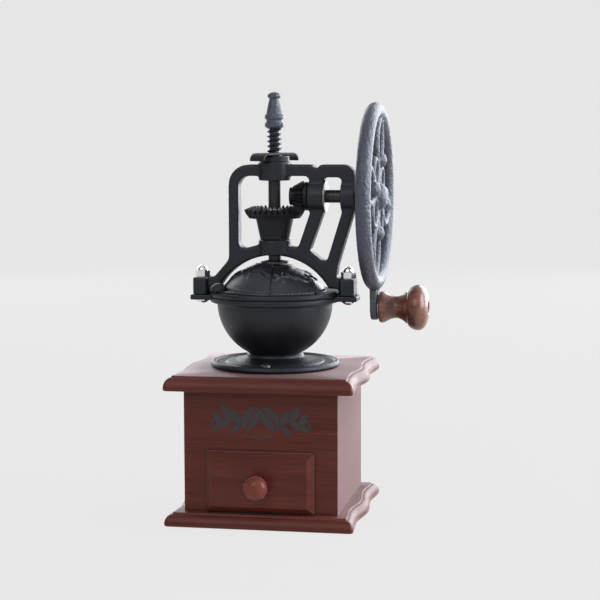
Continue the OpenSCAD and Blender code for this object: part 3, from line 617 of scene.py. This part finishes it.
def leaf(base, tip, width, steps=16):
    """Outline of a pointed leaf from base to tip, in the front plane."""
    run = tip - base
    side = Vector((-run.y, run.x)).normalized()

    def swell(i):
        return side * (width * math.sin(math.pi * (i / steps) ** 0.8))

    near = [base + run * (i / steps) + swell(i) for i in range(steps + 1)]
    far = [base + run * (i / steps) - swell(i) for i in range(steps - 1, 0, -1)]
    return near + far


def stroke(path, width):
    """Outline of a pen stroke that swells in its middle."""
    count = len(path) - 1
    left, right = [], []
    for i, p in enumerate(path):
        run = (path[min(i + 1, count)] - path[max(i - 1, 0)]).normalized()
        side = Vector((-run.y, run.x)) * (width * (0.25 + 0.75 * math.sin(math.pi * i / count)))
        left.append(p + side)
        right.append(p - side)
    return left + right[::-1]


def spiral(centre, r0, r1, start, sweep, steps=36):
    """Path that curls from the radius r0 to r1 through sweep degrees."""
    return [centre + Vector((math.cos(a), math.sin(a))) * (r0 + (r1 - r0) * i / steps)
            for i in range(steps + 1)
            for a in [math.radians(start + sweep * i / steps)]]


def bean(centre, length, width, turn):
    """Two half ovals with a wavy slit between them."""
    edge_steps, slit_steps, slit_half, slit_swing = 24, 12, 0.45, 0.9
    c, s = math.cos(math.radians(turn)), math.sin(math.radians(turn))
    halves = []
    for side in (1, -1):
        edge = [(length * math.cos(a), side * width * math.sin(a))
                for a in [math.pi * i / edge_steps for i in range(edge_steps + 1)]]
        slit = [(length * u, slit_half * side + slit_swing * math.sin(math.pi * u))
                for u in [-1 + 2 * i / slit_steps for i in range(1, slit_steps)]]
        halves.append([centre + Vector((x * c - y * s, x * s + y * c)) for x, y in edge + slit])
    return halves


def side_branch(middle, side):
    """Outlines of one branch: a stem with three pairs of leaves and a scroll at its end."""
    steps = 24
    stem = [middle + Vector((side * (9 + 17 * t), -6 + 5.5 * math.sin(math.pi * t)))
            for t in [i / steps for i in range(steps + 1)]]
    outlines = [stroke(stem, 0.7)]
    for t, lift, size in ((0.2, 9.0, 2.2), (0.5, 8.5, 2.4), (0.8, 7.0, 2.0)):
        foot = stem[int(steps * t)]
        outlines.append(leaf(foot, foot + Vector((side * 4.6, lift)), size))
        outlines.append(leaf(foot, foot + Vector((side * 5.2, -lift * 0.62)), size * 0.8))
    scroll = spiral(middle + Vector((side * 25.5, -3.4)), 3.4, 0.9, 90 - side * 90 + 180, -side * 500)
    outlines.append(stroke(scroll, 0.55))
    return outlines


def sprig(middle):
    """Outlines of the whole sprig round its middle, in millimetres."""
    bean_x, bean_up, lean, steps = 5.5, 0.5, 32, 24
    outlines = []
    for side in (-1, 1):
        outlines += bean(middle + Vector((side * bean_x, bean_up)), 7.2, 4.6, 90 + side * lean)
    for side in (-1, 1):
        outlines += side_branch(middle, side)
    garland = [middle + Vector((-8 + 16 * i / steps, -9.2 - 1.6 * math.sin(math.pi * i / steps)))
               for i in range(steps + 1)]
    outlines.append(stroke(garland, 0.6))
    return outlines


def front_ornament():
    """Thin printed sprig with two beans, leaves and scrolls, above the drawer."""
    low, high = box_mm("box_front")
    top = box_mm("drawer_front")[1].z
    raised, grow, sunk = 1.5, 1.3, 0.02
    # Each outline lies a little further out than the one before, so none share a plane
    film, film_step = 0.12, 0.004
    middle = Vector((0, (top + high.z) / 2 + raised))
    shapes = [[middle + (p - middle) * grow for p in outline] for outline in sprig(middle)]
    work = bmesh.new()
    face_y = low.y + sunk
    for k, outline in enumerate(shapes):
        proud = film + film_step * k
        front = [work.verts.new(Vector((p.x, face_y - proud, p.y)) * MM) for p in outline]
        back = [work.verts.new(Vector((p.x, face_y, p.y)) * MM) for p in outline]
        work.faces.new(front)
        work.faces.new(back[::-1])
        n = len(outline)
        for i in range(n):
            work.faces.new((front[i], back[i], back[(i + 1) % n], front[(i + 1) % n]))
    bmesh.ops.recalc_face_normals(work, faces=work.faces)
    bmesh.ops.triangulate(work, faces=[f for f in work.faces if len(f.verts) > 4])
    mesh = bpy.data.meshes.new("front_ornament")
    work.to_mesh(mesh)
    work.free()
    obj = link("front_ornament", mesh)
    paint(obj, "ink")
    return place(obj, "root", "mahogany")


# ---------------------------------------------------------------- castings

def casting(node, name, body, voxel=0.7, passes=5, rough=0.05, grain=1.6):
    """Copy of a CAD casting with softened edges and a faint sand-cast skin."""
    obj = link(name, nodes[node].data.copy())
    remesh(obj, voxel, passes)
    roughen(obj, rough, grain)
    paint(obj, "cast_iron")
    return place(obj, body, "cast_iron", node)


# The lid is part of a sphere: the height of its centre, radii and wall thicknesses in
# millimetres, and the door's two edges and its lap over the shell in degrees
LID_CENTRE = 140.8
DOOR_R = 50.3
DOOR_T = 1.2
SHELL_R = DOOR_R - 1.62
SHELL_T = 2.6
LID_HOLE_R = 6.2
DOOR_FROM, DOOR_TO = 184, 275
DOOR_LAP = 5


def flower_height(x, y, k):
    """Relief of one flower with its two side leaves, x and y millimetres from its middle."""
    height = 0.0
    eye_r, leaf_x0, leaf_half, leaf_w = 1.7, 9.5, 4.2, 2.3
    r, turn = math.hypot(x, y), math.atan2(y, x)
    petals = 5.2 + 2.6 * math.cos(5 * turn + k)
    if r < petals:
        height = (1 - (r / petals) ** 3) * (0.62 + 0.38 * math.cos(10 * turn))
    leaf_x = abs(abs(x) - leaf_x0)
    leaf_y = y - 3.5 * math.sin(x * 0.35)
    leaf_rise = 0.0
    if leaf_x < leaf_half:
        wide = leaf_w * math.cos(leaf_x / leaf_half * math.pi / 2)
        if abs(leaf_y) < wide:
            leaf_rise = 0.75 * (1 - (leaf_y / wide) ** 2) + 0.12 * math.cos(6 * x)
    eye = 1.0 - 0.25 * (r / eye_r) ** 2 if r < eye_r else None
    return height, leaf_rise, eye


def sculpted_height(az, up):
    """Relief of the lid's flowers, beads and collar at an azimuth and a height share from 0 to 1."""
    flowers, first_az, gap = 7, 290, 51.4
    across, narrowing, upwards = 36, 0.55, 44
    height = 0.0
    for k in range(flowers):
        centre_az = math.radians(first_az + gap * k)
        centre_up = 0.42 + 0.05 * (-1) ** k
        d_az = (az - centre_az + math.pi) % TAU - math.pi
        x, y = d_az * across * (1 - narrowing * up), (up - centre_up) * upwards
        petal_rise, leaf_rise, eye = flower_height(x, y, k)
        height = max(height, petal_rise)
        if eye is not None:
            height = eye
        height = max(height, leaf_rise)
    if up < 0.1:
        bead = math.cos(az * 84)
        height = max(height, 0.55 * max(0.0, bead) * max(0.0, 1 - abs(up - 0.055) / 0.04))
    if 0.74 < up < 0.86:
        height = max(height, 0.5 * (1 - abs(up - 0.8) / 0.06))
    return height


def dome_point(r, tilt, az):
    """Point of a sphere round the lid's centre, tilt measured from straight up."""
    return Vector((r * math.sin(tilt) * math.cos(az), r * math.sin(tilt) * math.sin(az),
                   LID_CENTRE + r * math.cos(tilt)))


def dome_patch(r_out, r_in, z_low, az_from, az_to, relief, step):
    """Part of a domed shell between two azimuths, with its relief in the outer face."""
    grit_height, grit_grain, inner_stride = 0.05, 40, 6
    steps = max(int(math.radians(az_to - az_from) * r_out / step), 4)
    low_tilt = math.acos((z_low - LID_CENTRE) / r_out)
    top_tilt = math.asin(LID_HOLE_R / r_out)
    rings = int((low_tilt - top_tilt) * r_out / step)
    rows = []
    for i in range(steps + 1):
        az = math.radians(az_from + (az_to - az_from) * i / steps)
        row = []
        for j in range(rings + 1):
            up = j / rings
            tilt = low_tilt + (top_tilt - low_tilt) * up
            edge = min(up / 0.05, (1 - up) / 0.06, i / 3, (steps - i) / 3, 1.0)
            grit = grit_height * noise.noise(Vector((az * grit_grain, tilt * grit_grain, 0)))
            r = r_out - relief + (relief * sculpted_height(az, up) * 0.98 + grit) * edge
            row.append(dome_point(r, tilt, az))
        for j in range(rings, -1, -inner_stride):
            row.append(dome_point(r_in, low_tilt + (top_tilt - low_tilt) * (j / rings), az))
        rows.append(row)
    return loft(rows)


def finish_lid_part(name, parts, body, node):
    """Joins a lid part's pieces, paints it and sets it on its body."""
    obj = join(name, parts)
    obj.data.set_sharp_from_angle(angle=math.radians(60))
    # The lid's iron colour is lighter than the bowl's: painted light.
    paint(obj, "lid_iron_painted_light")
    return place(obj, body, "cast_iron", node)


def fixed_lid():
    """Embossed fixed shell and the round cap that holds it at the top."""
    low_z = box_mm("lid_ring")[1].z
    skin = dome_patch(SHELL_R, SHELL_R - SHELL_T, low_z, DOOR_TO - DOOR_LAP, DOOR_FROM + DOOR_LAP + 360,
                      relief=1.5, step=0.6)
    shell = mesh_object("embossed_lid", *skin, sharp=60)
    profile = [(LID_HOLE_R, 0), (13.6, 0), (13.8, 0.4), (13.4, 1.0), (LID_HOLE_R, 1.3), (LID_HOLE_R, 0)]
    cap = lathe("cap", profile, "z", (0, 0, LID_CENTRE + SHELL_R - 3.2), segments=72)
    return finish_lid_part("embossed_lid", [shell, cap], "root", "lid_dome")


def door_lip(low_z):
    """Flat lip along the door's lower edge."""
    inner, outer, height, chamfer, steps = 40.1, 44.5, 1.3, 0.3, 40
    section = [(inner, low_z), (outer, low_z), (outer, low_z + height - chamfer),
               (outer - chamfer, low_z + height), (inner, low_z + height)]
    turns = [math.radians(DOOR_FROM + (DOOR_TO - DOOR_FROM) * i / steps) for i in range(steps + 1)]
    rows = [[Vector((r * math.cos(a), r * math.sin(a), z)) for r, z in section] for a in turns]
    return mesh_object("lip", *loft(rows), sharp=40)


def lid_door():
    """Embossed door with the collar that it turns on and its lip."""
    low_z = box_mm("lid_door")[0].z
    skin = dome_patch(DOOR_R, DOOR_R - DOOR_T, low_z + 1.3, DOOR_FROM, DOOR_TO, relief=0.85, step=0.7)
    shell = mesh_object("leaf", *skin, sharp=60)
    profile = [(LID_HOLE_R, 0), (10.9, -0.9), (11.0, 0.2), (10.6, 0.6), (LID_HOLE_R, 1.35), (LID_HOLE_R, 0)]
    collar = lathe("collar", profile, "z", (0, 0, LID_CENTRE + DOOR_R - 1.5), segments=72)
    return finish_lid_part("lid_door_leaf", [shell, collar, door_lip(low_z)], "lid_door", "lid_door")


# ---------------------------------------------------------------- adjuster

def thread_rise(t):
    """Height share of the thread's ridge at a share of one pitch."""
    shape = [(0.0, 0.0), (0.12, 0.0), (0.4, 0.92), (0.46, 1.0), (0.52, 0.92), (0.8, 0.0), (1.0, 0.0)]
    t %= 1.0
    for (t0, h0), (t1, h1) in zip(shape, shape[1:]):
        if t <= t1:
            return h0 + (h1 - h0) * (t - t0) / max(t1 - t0, 1e-6)
    return 0.0


def adjusting_screw():
    """Threaded rod with a true helical ridge."""
    low, high = box_mm("adjust_screw")
    crest, core, pitch = 5.85, 3.85, 3.6
    start, end = low.z, high.z
    plain_end, fade_length = 5.6, 1.5
    around, up_steps = 56, 14
    total = int((end - start) / pitch * up_steps)
    rows = []
    for j in range(total + 1):
        z = start + (end - start) * j / total
        fade = max(min(1.0, (z - start) / fade_length, (end - plain_end - z) / fade_length), 0.0)
        row = []
        for i in range(around):
            r = core + (crest - core) * thread_rise((z - start) / pitch - i / around) * fade
            row.append(Vector((r * math.cos(TAU * i / around), r * math.sin(TAU * i / around), z)))
        rows.append(row)
    obj = mesh_object("adjusting_rod", *loft(rows), sharp=50)
    roughen(obj, 0.05, 0.8)
    # The rod's iron colour is lighter than the bowl's: painted light.
    paint(obj, "lid_iron_painted_light")
    return place(obj, "adjuster", "cast_iron", "adjust_screw")


def finial_knob():
    """Turned finial: a collar of two rings, a tapering stem and a button."""
    base = box_mm("finial")[0].z
    shoulder = 1.4
    z = base + shoulder
    under = [(0, -1.35), (3.9, -1.35), (4.8, -1.35), (5.4, -0.9)]
    low_ring = [(6.9, 0.2), (7.15, 0.6), (7.2, 0.9), (7.2, 3.0), (7.0, 3.3)]
    groove = [(6.2, 3.5), (6.05, 3.8), (6.05, 5.5), (6.2, 5.8)]
    high_ring = [(7.0, 6.0), (7.2, 6.3), (7.2, 8.6), (7.1, 8.95), (6.8, 9.15)]
    stem = [(6.3, 9.3), (6.15, 9.7), (5.9, 11.2), (5.4, 13.6), (4.8, 16.2), (4.2, 18.6), (3.85, 19.9),
            (3.8, 20.3)]
    button_r, button_half, button_mid = 5, 2.85, 23
    button = [(button_r * math.cos(math.radians(a)), button_mid + button_half * math.sin(math.radians(a)))
              for a in range(-42, 91, 6)]
    profile = under + low_ring + groove + high_ring + stem + button + [(0, button_mid + button_half)]
    obj = lathe("turned_finial", [(r, z + t) for r, t in profile], "z", (0, 0, 0), segments=96, sharp=32)
    roughen(obj, 0.05, 1.2)
    paint(obj, "wheel_iron")
    return place(obj, "adjuster", "wheel_iron", "finial")


# ---------------------------------------------------------------- hand wheel

# Middle plane of the wheel's rim and pattern
WHEEL_X = 76.2


def wheel_point(x, y, z, turn):
    """Point in the wheel's own frame, turned about its axis, in millimetres."""
    a = math.radians(turn)
    return Vector((x, y * math.cos(a) - z * math.sin(a),
                   WHEEL_Z + y * math.sin(a) + z * math.cos(a)))


def petal_paths(turn):
    """Centre lines of the two ribs of a long teardrop petal, from the hub to the rim."""
    steps, start, length = 36, 8, 53.5
    widest, root_half, skew, fullness = 11.7, 1.0, 1.45, 1.15
    for side in (1, -1):
        path = []
        for i in range(steps + 1):
            t = i / steps
            half = widest * max(math.sin(math.pi * t ** skew), 0) ** fullness + root_half
            path.append(wheel_point(WHEEL_X, side * half, start + length * t, turn))
        yield path


def wheel_rim(rim_out):
    """Full round rim, slightly deeper along the radius than across."""
    half, deep, around, turns = 5.6, 5.75, 28, 180
    section = [(rim_out - half + deep * math.cos(a), WHEEL_X + half * math.sin(a))
               for a in [TAU * i / around for i in range(around)]]
    rows = [[along("x", (0, 0, WHEEL_Z), r, t, TAU * i / turns) for r, t in section]
            for i in range(turns)]
    rows.append(rows[0])
    return mesh_object("rim", *loft(rows, cap_start=False, cap_end=False))


def wheel_quarter(turn):
    """One petal with its ball and stalk, and the round loop beside it."""
    axis = Vector((1, 0, 0))
    rib_half, loop_steps, stalk_steps = 3.6, 40, 6
    parts = [mesh_object("petal", *tube(path, axis, lambda t: 2.7 + 0.5 * t, rib_half))
             for path in petal_paths(turn)]
    parts.append(mesh_object("ball", *ball(wheel_point(WHEEL_X + 1.6, 0, 27.5, turn), 6.2)))
    stalk = [wheel_point(WHEEL_X + 0.8, 0, 6 + 20 * i / stalk_steps, turn)
             for i in range(stalk_steps + 1)]
    parts.append(mesh_object("stalk", *tube(stalk, axis, lambda t: 3.2 - 0.8 * t, 3.4)))
    loop = [wheel_point(WHEEL_X, 9.7 * math.cos(a), 21 + 10.2 * math.sin(a), turn + 45)
            for a in [TAU * i / loop_steps for i in range(loop_steps)]]
    parts.append(mesh_object("loop", *tube(loop, axis, 2.4, 3.5, closed=True)))
    return parts


def hand_wheel():
    """Openwork wheel: heavy rim, four long petals with balls, four rounder loops and a domed hub."""
    rim_out = box_mm("wheel")[1].z - WHEEL_Z
    pattern_turn = -13
    parts = [wheel_rim(rim_out)]
    for k in range(4):
        parts += wheel_quarter(pattern_turn + 90 * k)
    hub = [(0, 63), (8.2, 63), (9, 63.8), (9, 71), (9.3, 72.6), (10, 74), (10.1, 77), (10, 79.5),
           (9.2, 81.7), (7.8, 83.3), (5.8, 84.5), (2.8, 85.2), (0, 85.35)]
    parts.append(lathe("hub", hub, "x", (0, 0, WHEEL_Z), segments=72))
    parts.append(crank_lug())
    wheel = join("openwork_wheel", parts)
    remesh(wheel, 0.62, 7)
    roughen(wheel, 0.16, 1.5)
    paint(wheel, "wheel_iron")
    return place(wheel, "hand_wheel", "wheel_iron", "wheel")


def crank_lug():
    """Flat rounded lug under the rim that holds the crank's spindle."""
    radius, height, neck, flare = 9.7, 20.5, 4, 3.5
    back, front = 2.95, 2.15
    top = CRANK_Z + height
    outline = [(radius * math.cos(math.radians(a)), CRANK_Z + radius * math.sin(math.radians(a)))
               for a in range(180, 361, 10)]
    outline += [(radius + 1.2, top - neck), (radius + flare, top), (-radius - flare, top),
                (-radius - 1.2, top - neck)]
    rows = [[Vector((x, y, z)) for y, z in outline] for x in (WHEEL_X - back, WHEEL_X + front)]
    return mesh_object("lug", *loft(rows))


# ---------------------------------------------------------------- stage, light and camera

def pale_floor():
    """Floor material that stays even, with a faint contact shadow."""
    pale, shadow_share = (0.8, 0.8, 0.8, 1), 0.035
    mat = bpy.data.materials.new("pale_floor")
    mat.use_nodes = True
    tree = mat.node_tree
    tree.nodes.clear()
    out = tree.nodes.new("ShaderNodeOutputMaterial")
    glow = tree.nodes.new("ShaderNodeEmission")
    glow.inputs["Color"].default_value = pale
    dull = tree.nodes.new("ShaderNodeBsdfDiffuse")
    dull.inputs["Color"].default_value = pale
    blend = tree.nodes.new("ShaderNodeMixShader")
    blend.inputs["Fac"].default_value = shadow_share
    tree.links.new(glow.outputs[0], blend.inputs[1])
    tree.links.new(dull.outputs[0], blend.inputs[2])
    tree.links.new(blend.outputs[0], out.inputs["Surface"])
    return mat


def stage_floor():
    """Floor that curves up into a low backdrop far behind."""
    half_width, front_y, bend_y, bend_r, top_z = 6000, -5000, 3500, 500, 900
    rows = []
    for x in (-half_width, half_width):
        row = [(x, front_y, 0), (x, bend_y, 0)]
        row += [(x, bend_y + bend_r * math.sin(math.radians(a)), bend_r - bend_r * math.cos(math.radians(a)))
                for a in range(10, 91, 10)]
        row += [(x, bend_y + bend_r, top_z)]
        rows.append(row)
    floor = mesh_object("floor", *loft(rows, closed_rows=False, cap_start=False, cap_end=False))
    floor.data.materials.append(pale_floor())


def area_light(name, at, target, size, power, colour):
    light = bpy.data.lights.new(name, "AREA")
    light.shape = "RECTANGLE"
    light.size, light.size_y = size
    light.energy = power
    light.color = colour
    obj = bpy.data.objects.new(name, light)
    obj.location = at
    obj.rotation_mode = "QUATERNION"
    obj.rotation_quaternion = (Vector(target) - Vector(at)).to_track_quat("-Z", "Y")
    obj.visible_camera = False
    scene.collection.objects.link(obj)


def room_light():
    """Dim room, brighter towards the window side and the ceiling."""
    world = bpy.data.worlds.new("studio")
    world.use_nodes = True
    tree = world.node_tree
    back = tree.nodes["Background"]
    coords = tree.nodes.new("ShaderNodeTexCoord")
    split = tree.nodes.new("ShaderNodeSeparateXYZ")
    tree.links.new(coords.outputs["Generated"], split.inputs[0])
    total = tree.nodes.new("ShaderNodeMath")
    total.operation = "ADD"
    gradients = (("X", -0.3, 1.0, 0.16, 0.62), ("Z", -0.1, 1.0, 0.0, 0.5))
    for k, (axis, start, end, low, high) in enumerate(gradients):
        step = tree.nodes.new("ShaderNodeMapRange")
        step.inputs["From Min"].default_value = start
        step.inputs["From Max"].default_value = end
        step.inputs["To Min"].default_value = low
        step.inputs["To Max"].default_value = high
        tree.links.new(split.outputs[axis], step.inputs["Value"])
        tree.links.new(step.outputs["Result"], total.inputs[k])
    back.inputs["Color"].default_value = (0.94, 0.96, 1.0, 1)
    tree.links.new(total.outputs[0], back.inputs["Strength"])
    scene.world = world


def lights():
    """Soft window light from behind at the right, with weaker lights round the mill."""
    room_light()
    area_light("window", (0.9, 1.7, 0.7), (0, 0, 0.15), (1.6, 1.6), 44.0, (0.93, 0.95, 1.0))
    area_light("side", (1.5, 0.1, 0.7), (0, 0, 0.18), (1.1, 1.1), 30.0, (0.95, 0.97, 1.0))
    area_light("back_left", (-1.1, 1.6, 0.75), (0, 0, 0.15), (1.2, 1.2), 16.0, (0.95, 0.97, 1.0))
    area_light("front_fill", (-0.5, -1.8, 1.3), (0, 0, 0.12), (1.4, 1.4), 12.0, (1.0, 0.98, 0.96))


def camera():
    """Camera at about 10.6 degrees to the right of the front and 6 degrees above level."""
    data = bpy.data.cameras.new("camera")
    data.sensor_width = 36
    data.lens = 101.41
    cam = bpy.data.objects.new("camera", data)
    scene.collection.objects.link(cam)
    place_mm = Vector((250.77, -1242.82, 290.68))
    yaw, pitch, roll = 0.1843, 0.1022, -0.0031
    forward = Vector((-math.sin(yaw) * math.cos(pitch), math.cos(yaw) * math.cos(pitch),
                      -math.sin(pitch)))
    right = Vector((math.cos(yaw), math.sin(yaw), 0))
    up = right.cross(forward)
    side = right * math.cos(roll) + up * math.sin(roll)
    top = up * math.cos(roll) - right * math.sin(roll)
    turn = Matrix((side, top, -forward)).transposed().to_4x4()
    cam.matrix_world = Matrix.Translation(place_mm * MM) @ turn
    scene.camera = cam
    scene.view_settings.view_transform = "Standard"


def build():
    finish_nodes()
    moulded_plate("moulded_base", "base_plate", screw_holes())
    moulded_plate("moulded_top", "top_plate", grounds_hole())
    drawer_knob()
    front_ornament()
    casting("foot_flange", "cast_foot", "root", voxel=0.6, passes=3)
    casting("bowl", "cast_bowl", "root", voxel=0.7, passes=4)
    casting("lid_ring", "cast_lid_ring", "root", voxel=0.6, passes=3)
    casting("bridge_frame", "cast_bridge", "root", voxel=0.6, passes=18, rough=0.06)
    casting("lock_plate", "cast_lock_strip", "lock_strip", voxel=0.35, passes=3)
    fixed_lid()
    lid_door()
    adjusting_screw()
    finial_knob()
    hand_wheel()
    crank_handle()
    stage_floor()
    lights()
    camera()


build()
